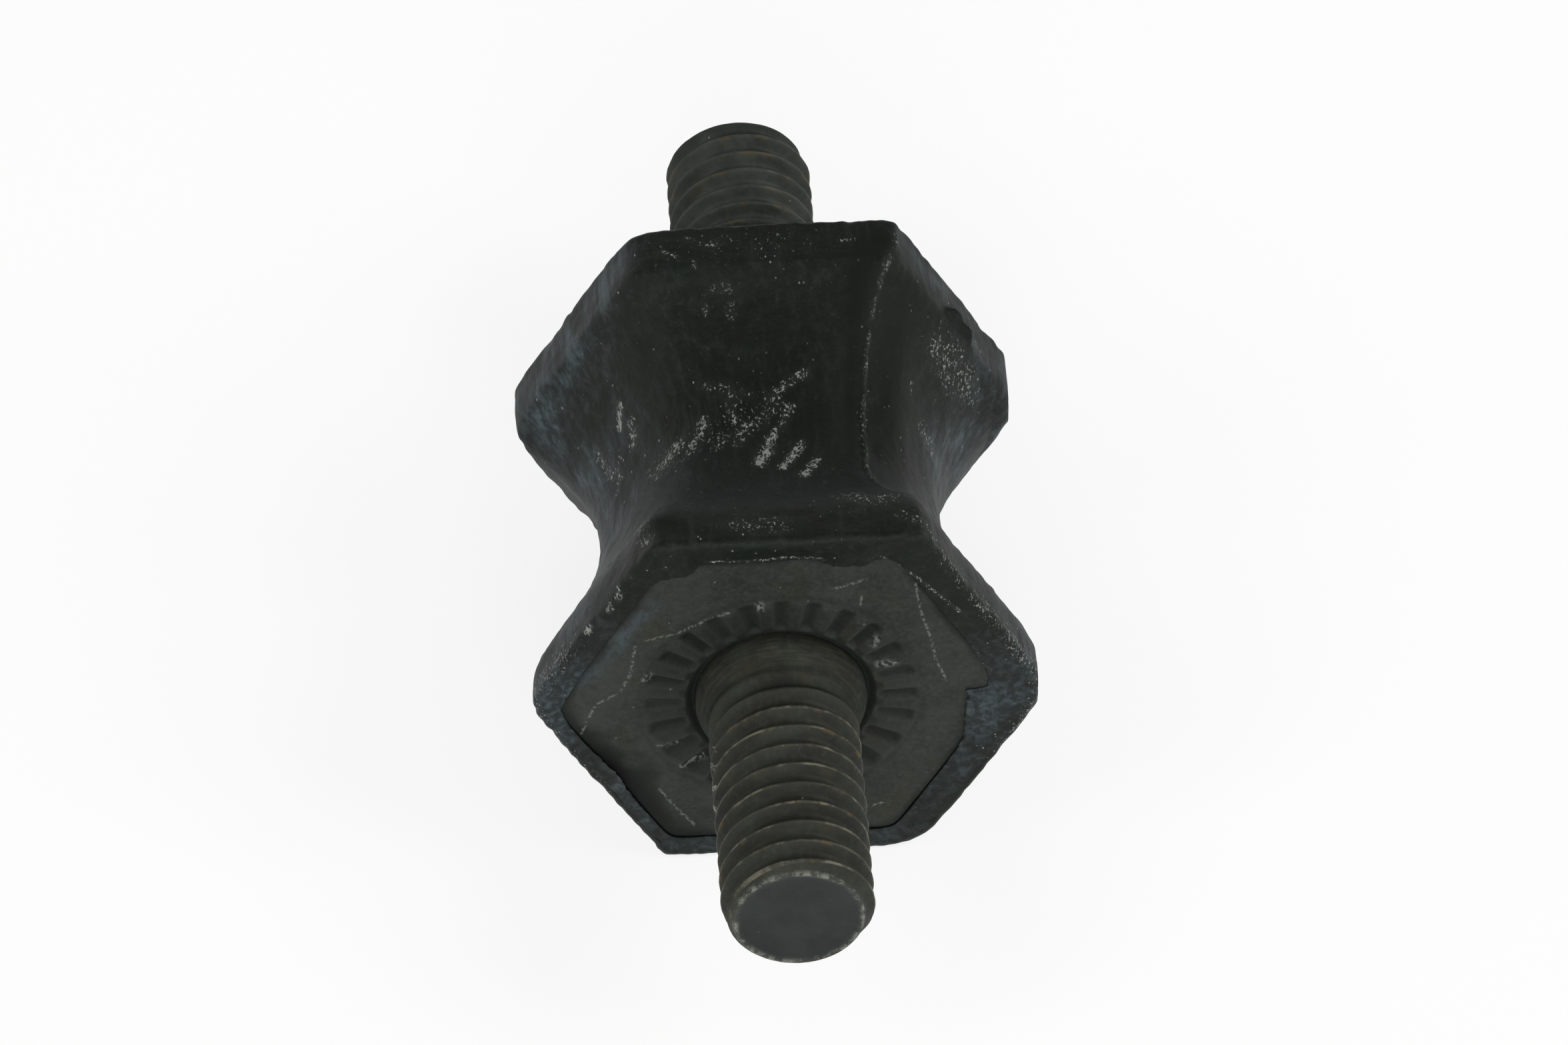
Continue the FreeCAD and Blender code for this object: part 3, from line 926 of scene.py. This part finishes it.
@dataclass
class RubberBody:
    """The moulded body: two hexagonal flanges that wrap the plates' edges, and the hollowed waist."""

    half_length: float = 8.85
    waist_reach: float = 6.5
    flat_dip: float = 2.3
    front_flats: tuple[float, ...] = (9.15, 8.76, 8.64, 8.46, 8.76, 9.20)
    rear_flats: tuple[float, ...] = (9.20, 8.79, 8.62, 8.56, 8.75, 9.08)
    front_rounding: tuple[float, ...] = (2.3, 0.8, 1.2, 1.3, 0.35, 2.2)
    rear_rounding: tuple[float, ...] = (2.0, 0.6, 1.7, 1.6, 1.0, 1.0)
    waist_rounding: tuple[float, ...] = (1.6, 0.7, 1.6, 1.6, 1.2, 1.2)
    waist_corner: float = 6.8
    corner_dip: float = 3.7
    rim_rounding: float = 0.32
    plate_face: float = 8.75
    plate_back: float = 7.25
    plate_half: float = 7.66
    head_radius: float = 5.0
    head_back: float = 6.05
    columns: int = 480
    seed: int = 21

    def angles(self) -> Array:
        """Angles of the columns, closer together at the corners: u less half of sin(6u) over 6."""
        u = np.linspace(0, 2 * math.pi, self.columns, endpoint=False)
        return (u - 0.5 * np.sin(6 * u) / 6)[None, :]

    def side(self, theta: Array, height: Array, inset: Array) -> Array:
        """Radius of the outside: a hexagon whose flats and corners dip along arcs towards the waist.

        Args:
            theta: angles.
            height: signed distances along the axis, the front positive.
            inset: how far the flats are moved in.

        Returns:
            The radius at each place.
        """
        ahead = smoothstep(-6.0, 6.0, height)
        dip = arc_dip(height, self.waist_reach, self.flat_dip, 0.12 + 0.45 * ahead)
        pairs = zip(self.front_flats, self.rear_flats)
        flats = [rear + (front - rear) * ahead - dip - inset for front, rear in pairs]
        corner_radius = (self.waist_reach ** 2 + self.corner_dip ** 2) / (2 * self.corner_dip)
        capped = np.minimum(np.abs(height), self.waist_reach)
        corners = self.waist_corner + corner_radius - np.sqrt(corner_radius ** 2 - capped ** 2) - inset
        corners = corners + 12.0 * smoothstep(self.waist_reach - 0.6, self.waist_reach + 0.2, np.abs(height))
        in_waist = 1.0 - smoothstep(4.2, 6.7, np.abs(height))
        flange = by_corner(theta, self.rear_rounding) * (1 - ahead)
        flange = flange + by_corner(theta, self.front_rounding) * ahead
        rounding = flange + (by_corner(theta, self.waist_rounding) - flange) * in_waist
        return hexagon_radius(theta, flats, corners, 4.5 * flats[0] / rounding)

    def film_inset(self, theta: Array, end: End) -> Array:
        """How far the edge of the rubber reaches in over the plate, past the plate's own edge.

        Args:
            theta: angles.
            end: which end of the body.

        Returns:
            The reach at each angle, joined by straight lines between the places that are listed.
        """
        degrees = np.degrees(theta) % 360
        if end is End.REAR:
            wave = 0.10 + 0.06 * np.sin(3 * theta + 1.0) + 0.04 * np.sin(7 * theta + 2.0)
            return np.maximum(wave + 0.03 * np.sin(17 * theta), 0.03)
        inset = np.interp(degrees, *zip(*FILM_REACH))
        crumbs = 0.02 * np.sin(61 * theta + 1.0) + 0.02 * np.sin(97 * theta + 2.0)
        crumbs = crumbs + 0.015 * np.sin(151 * theta)
        return np.maximum(inset + crumbs * smoothstep(0.03, 0.2, inset), 0.02)

    def lift(self, theta: Array, end: End) -> Array:
        """How far the rubber's inner edge has come up off the plate at one end: a sum of bell curves."""
        degrees = np.degrees(theta) % 360
        if end is End.REAR:
            return 0.02 + 0 * theta
        flap = 0.07 * bump(350.0, 12.0, degrees) + 0.07 * bump(-3.0, 3.0, degrees)
        return 0.01 + flap + 0.24 * bump(209.0, 11.0, degrees) + 0.03 * bump(116.0, 6.0, degrees)

    def thinning(self, theta: Array, end: End) -> Array:
        """How thin the rubber's inner edge runs out on the plate: 1 where it fades, 0 for a full step."""
        degrees = np.degrees(theta) % 360
        if end is End.REAR:
            return 0.5 + 0.3 * np.sin(5 * theta)
        upper = smoothstep(48.0, 62.0, degrees) * (1.0 - smoothstep(165.0, 185.0, degrees))
        patches = 0.25 * np.sin(9 * theta + 1.0) + 0.2 * np.sin(23 * theta)
        lower = smoothstep(262.0, 275.0, degrees) * (1.0 - smoothstep(335.0, 345.0, degrees))
        return np.clip(0.30 + 0.7 * upper + 0.35 * lower + patches * (1 - upper), 0.0, 1.0)

    def flange_end(self, theta: Array, end: End) -> tuple[Array, Array]:
        """Rows from the axis inside the pocket, out over the film and lip, to the rim.

        Args:
            theta: angles.
            end: which end of the body.

        Returns:
            The radius and the height of every row.
        """
        flat = np.ones_like(theta)
        wall = hexagon_radius(theta, [self.plate_half] * 6, UNCUT * flat, 4.5 * self.plate_half / 0.8 * flat)
        inner = wall - self.film_inset(theta, end)
        lift = self.lift(theta, end)
        top = self.half_length
        seat = self.plate_face + 0.006
        at_top = -end.value * top * flat
        outer = self.side(theta, at_top, self.rim_rounding * flat)
        radius = [2.5 * flat, self.head_radius * flat, self.head_radius * flat, wall, wall, inner + 0.01]
        height = [self.head_back * flat] * 2 + [self.plate_back * flat] * 2 + [seat * flat, seat + lift]
        edge_height = top + lift
        thin = self.thinning(theta, end)
        for t in np.linspace(0, 1, 17) ** 1.4:
            reach = t * (outer - inner)
            drop = 1.0 - np.sqrt(np.clip(1.0 - (1.0 - np.minimum(reach / 0.09, 1.0)) ** 2, 0.0, 1.0))
            drop = np.maximum(drop, thin * (1.0 - smoothstep(0.0, 0.75, reach)))
            face = edge_height + (top - edge_height) * t ** 0.6
            radius.append(inner + (outer - inner) * t)
            height.append(face - (top - seat - 0.02) * 0.9 * drop)
        for turn in np.linspace(0, math.pi / 2, 7)[1:]:
            shift = self.rim_rounding * (1.0 - math.sin(turn))
            radius.append(self.side(theta, at_top, shift * flat))
            height.append(top - self.rim_rounding * (1.0 - math.cos(turn)) * flat)
        return np.vstack(radius), np.vstack(height)

    def skin(self) -> Skin:
        """Front pocket, lip and rim, the outside from front to rear, and the rear end the same way back.

        Returns:
            The closed surface with its masks.
        """
        theta = self.angles()
        front_radius, front_height = self.flange_end(theta, End.FRONT)
        rear_radius, rear_height = self.flange_end(theta, End.REAR)
        reach = self.half_length - self.rim_rounding
        outside = np.linspace(reach, -reach, 150)[1:-1, None] + 0 * theta
        side_radius = self.side(theta, outside, 0 * outside)
        radius = np.vstack([front_radius, side_radius, rear_radius[::-1]])
        height = np.vstack([front_height, outside, -rear_height[::-1]])
        first, middle = len(front_radius), len(side_radius)
        theta = theta + 0 * radius
        points = place(theta, radius, height, End.FRONT)
        shown = np.zeros_like(radius)
        shown[6:-6] = 1.0
        outer = np.zeros_like(radius)
        outer[first - 7:first + middle + 7] = 1.0
        radius, masks = self.marks(theta, radius, height, points, outer)
        points = place(theta, radius, height, End.FRONT)
        lip = shown * (1 - outer)
        points[..., 1] += lip * np.sign(height) * 0.012 * grain(points, 1.3, self.seed + 5)
        points[..., 0] = np.clip(points[..., 0], -9.99, 9.99)
        points[..., 2] = np.clip(points[..., 2], 0.0, 2 * AXIS_HEIGHT)
        return Skin(points, masks)

    def marks(self, theta: Array, radius: Array, height: Array, points: Array,
              outer: Array) -> tuple[Array, dict[str, Array]]:
        """Unevenness, mould lines, raised lump, scuffs, dust, painted shade, a painted highlight, and
        grey-blue that is partly painted reflection and partly bloom, of the outside and the lips.

        Args:
            theta: angles.
            radius: radii of the true shape.
            height: signed heights, front positive.
            points: places of the true shape.
            outer: 1 on the outside rows.

        Returns:
            The radius with the relief worked in, and the masks.
        """
        degrees = np.degrees(theta)
        swell = 0.03 * grain(points, 5.0, self.seed) + 0.012 * grain(points, 1.4, self.seed + 1)
        along = np.abs(height)
        edge = bump(self.half_length, 0.5, along) + 0.8 * bump(self.waist_reach, 0.35, along)
        swell = swell + (0.006 + 0.008 * edge) * grain(points, 0.6, self.seed + 2)
        swell = swell - 0.03 * edge * np.maximum(grain(points, 0.9, self.seed + 3) - 0.4, 0)
        flash_height = np.array([-8.8, -7.3, -6.5, -5.2, -3.7, -2.5, -1.0, 1.0, 2.6, 4.4, 5.7])
        flash_angle = np.array([57.0, 57.7, 59.5, 59.3, 58.1, 56.7, 56.3, 56.8, 59.6, 61.4, 61.2])
        line = np.interp(height, flash_height, flash_angle)
        span = smoothstep(-8.7, -7.5, height) * (1 - smoothstep(4.2, 5.6, height))
        ragged = np.clip(0.7 + 0.35 * grain(points, 0.7, self.seed + 4), 0.1, 1.3)
        flash = bump(0.0, 0.75, degrees - line) * span * ragged
        under = bump(0.0, 0.8, degrees - 240.0 - 1.0 * np.sin(height * 0.6)) * 0.8
        ridge = (((34.5, -6.95 * 6), (29.0, -6.85 * 6), (25.0, -6.75 * 6)),)
        lump = stroke_mask(degrees, height * 6.0, ridge, 1.7)
        hollow = stroke_mask(degrees, height * 6.0, ridge, 3.4) - lump
        swell = swell + 0.17 * flash + 0.07 * under + 0.34 * lump - 0.08 * hollow
        radius = radius + outer * (swell - 0.02)
        arc = math.radians(1.0) * 7.5  # length of one degree on the usual radius
        across = degrees * arc
        edge_dust = bump(8.3, 0.8, height) * smoothstep(130.0, 175.0, degrees)
        edge_dust = edge_dust * (1 - smoothstep(200, 240, degrees))
        edge_dust = edge_dust + 0.42 * bump(-7.6, 1.0, height) * bump(94.0, 34.0, degrees)
        from_right = np.abs((degrees + 180) % 360 - 180)
        edge_dust = edge_dust + bump(8.5, 0.6, height) * (1 - smoothstep(12.0, 40.0, from_right))
        scuff = painted(across, height, SCUFF_STROKES, arc)
        scuff = np.maximum(scuff, 0.45 * flash)
        dust = painted(across, height, DUST_STROKES, arc) + 1.2 * edge_dust
        # Painted shade: round the raised lump, on both sides of the mould flash line, by the 182 degree
        # corner and in the front flange's recess near 120 degrees.
        dark = 0.5 * hollow + 0.5 * lump + 0.9 * bump(5.0, 4.0, degrees - line) * span
        dark = dark + 0.7 * bump(-9.0, 7.5, degrees - line) * bump(-2.0, 5.5, height)
        dark = dark + 0.6 * bump(182.0, 6.0, degrees) * bump(-5.5, 2.5, height)
        dark = dark + painted(across, height, ((0.8, 0.9, (121.0, 7.3), (116.0, 7.5)),), arc)
        # Lighter along the mould flash lines, as rubbed wear, and a painted highlight along the rear flange's
        # ridge on top.
        rub = 0.7 * flash + 0.4 * under
        rub = rub + 0.5 * bump(-6.55, 0.10, height) * bump(88.0, 26.0, degrees) * ragged
        turn = (degrees + 360.0) % 360.0
        # Partly painted reflection, partly bloom: grey-blue by the side corners, along the listed strokes, on
        # the lower sides and on the front lip.
        bloom = 0.7 * bump(168.0, 14.0, turn) + 0.3 * bump(190.0, 14.0, turn)
        bloom = bloom + 0.8 * bump(0.0, 18.0, (turn + 180.0) % 360.0 - 180.0)
        bloom = bloom + 0.22 * bump(150.0, 20.0, turn) + painted(across, height, GLARE_AND_BLOOM_STROKES, arc)
        bloom = bloom + 0.5 * smoothstep(225.0, 250.0, turn) * (1.0 - smoothstep(290.0, 315.0, turn)) + 0.06
        lip_glare_and_bloom = (1.0 - outer) * (1.2 * bump(215.0, 38.0, turn) + bump(340.0, 26.0, turn))
        lip_strokes = (((-2.8, 7.75), (-1.0, 7.66), (0.3, 7.78), (1.7, 7.62)),
                       ((3.9, 7.6), (5.3, 6.35), (6.9, 4.45)))
        on_lip = stroke_mask(radius * np.cos(theta), radius * np.sin(theta), lip_strokes, 0.15)
        masks = {"scuff": scuff * outer + (height > self.plate_face) * (1.0 - outer) * 0.55 * on_lip}
        for key, values in (("dust", dust), ("dark", dark), ("rub", rub)):
            masks[key] = np.clip(values, 0, 1) * outer
        masks["bloom"] = np.clip(bloom + lip_glare_and_bloom, 0, 1) * (0.85 + 0.15 * outer)
        return radius, masks

    def build(self, finish: Finish) -> None:
        """Make the body and dress it."""
        finish.dress(self.skin().build("moulded_body", Slot.RUBBER, "rubber_body"))


# Floor, light and camera


@dataclass
class Studio:
    """Pale floor, soft lamps, a plain sky and the camera at the photograph's angle."""

    floor_half_width: float = 2.0
    floor_colour: tuple[float, float, float] = (0.92, 0.925, 0.915)
    floor_glow: float = 0.80
    horizon: float = 1.0
    zenith: float = 0.34
    lamps: tuple = (
        ("soft_left", (-0.42, -0.20, 0.40), 0.30, 1.0),
        ("soft_right", (0.45, -0.16, 0.38), 0.30, 1.6),
        ("soft_front", (0.0, -0.55, 0.30), 0.25, 1.5),
    )
    camera_place: tuple[float, float, float] = (-14.05, -266.956 + BODY_MIDDLE_Y, 270.066 + AXIS_HEIGHT)
    camera_forward: tuple[float, float, float] = (0.03872, 0.70357, -0.70957)
    camera_up: tuple[float, float, float] = (0.04596, 0.7081, 0.70462)
    focal_length: float = 221.5

    def floor(self) -> None:
        """Flat square sheet under the mount, white to the camera but for the mount's soft shadow."""
        w = self.floor_half_width
        mesh = bpy.data.meshes.new("pale_floor")
        mesh.from_pydata([(-w, -w, 0), (w, -w, 0), (w, w, 0), (-w, w, 0)], [], [(0, 1, 2, 3)])
        sheet = bpy.data.objects.new("pale_floor", mesh)
        bpy.context.scene.collection.objects.link(sheet)
        material = bpy.data.materials.new("pale_floor_paint")
        material.use_nodes = True
        material.node_tree.nodes.clear()
        graph = Graph(material.node_tree)
        rays = ("Is Camera Ray", "Is Glossy Ray", "Is Transmission Ray")
        camera, glossy, through = (graph.node("ShaderNodeLightPath", out=ray) for ray in rays)
        seen = camera.most(glossy).most(through)
        matt = graph.node("ShaderNodeBsdfDiffuse", {}, {"Color": (*self.floor_colour, 1.0)})
        glow = graph.node("ShaderNodeEmission", {}, {"Color": (1.0, 1.0, 1.0, 1.0), "Strength": 1.0})
        graph.finish(graph.node("ShaderNodeMixShader", {}, {0: seen * self.floor_glow, 1: matt, 2: glow}))
        mesh.materials.append(material)

    def sky(self) -> None:
        """World that is white at the horizon and grey overhead."""
        world = bpy.data.worlds.new("plain_studio")
        bpy.context.scene.world = world
        world.use_nodes = True
        world.node_tree.nodes.clear()
        graph = Graph(world.node_tree)
        direction = graph.node("ShaderNodeTexCoord", out="Generated")
        up = graph.node("ShaderNodeSeparateXYZ", {}, {0: direction}, out=2)
        colour = graph.mix(up.step(0.06, 0.55), (self.horizon,) * 3, (self.zenith,) * 3)
        light = graph.node("ShaderNodeBackground", {}, {"Color": colour, "Strength": 1.0})
        graph.finish(light, "ShaderNodeOutputWorld")

    def lamp(self, name: str, at: tuple[float, float, float], size: float, power: float) -> None:
        """Square soft lamp, turned to the mount.

        Args:
            name: name of the lamp.
            at: its place in metres.
            size: side of the square in metres.
            power: its power in watts.
        """
        light = bpy.data.lights.new(name, "AREA")
        light.shape = "SQUARE"
        light.size = size
        light.energy = power
        lamp = bpy.data.objects.new(name, light)
        bpy.context.scene.collection.objects.link(lamp)
        lamp.location = at
        aim = Vector((0.0, 0.0, AXIS_HEIGHT * MM)) - Vector(at)
        lamp.rotation_mode = "QUATERNION"
        lamp.rotation_quaternion = aim.to_track_quat("-Z", "Y")

    def camera(self) -> None:
        """Camera from the photograph's fitted place and direction, on a 36 mm wide sensor."""
        data = bpy.data.cameras.new("view")
        data.sensor_width = 36.0
        data.sensor_fit = "HORIZONTAL"
        data.lens = self.focal_length
        data.clip_start, data.clip_end = 0.01, 20.0
        eye = bpy.data.objects.new("view", data)
        bpy.context.scene.collection.objects.link(eye)
        back = -Vector(self.camera_forward).normalized()
        up = Vector(self.camera_up).normalized()
        right = up.cross(back).normalized()
        turn = Matrix((right, back.cross(right), back)).transposed().to_4x4()
        eye.matrix_world = Matrix.Translation(Vector(self.camera_place) * MM) @ turn
        bpy.context.scene.camera = eye

    def build(self) -> None:
        """Floor, sky, lamps and camera, with the plain view transform."""
        self.floor()
        self.sky()
        for lamp in self.lamps:
            self.lamp(*lamp)
        self.camera()
        bpy.context.scene.view_settings.view_transform = "Standard"


def main() -> None:
    """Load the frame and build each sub-assembly in order."""
    logging.basicConfig(level=logging.INFO, format="%(name)s %(message)s")
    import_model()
    rubber, steel, thread = RubberFinish(), PlateFinish(), StudFinish()
    # A lighter copy of the stud's steel for the rear stud, with less pale wear on the crests.
    lighter_rear_steel = StudFinish("lighter_rear_stud_steel", dark=(0.0170, 0.0205, 0.0168),
                        light=(0.0400, 0.0460, 0.0385), worn=0.5)
    RubberBody().build(rubber)
    Plate(End.FRONT).build(steel)
    Plate(End.REAR, seed=12, marks_turn=2.2).build(steel)
    Stud(End.FRONT, length=11.6, crest_at=19.98).build(thread)
    Stud(End.REAR, length=12.8, crest_at=18.2, chamfer=0.6, wear=0.91, seed=8).build(lighter_rear_steel)
    Studio().build()


if __name__ == "__main__":
    main()
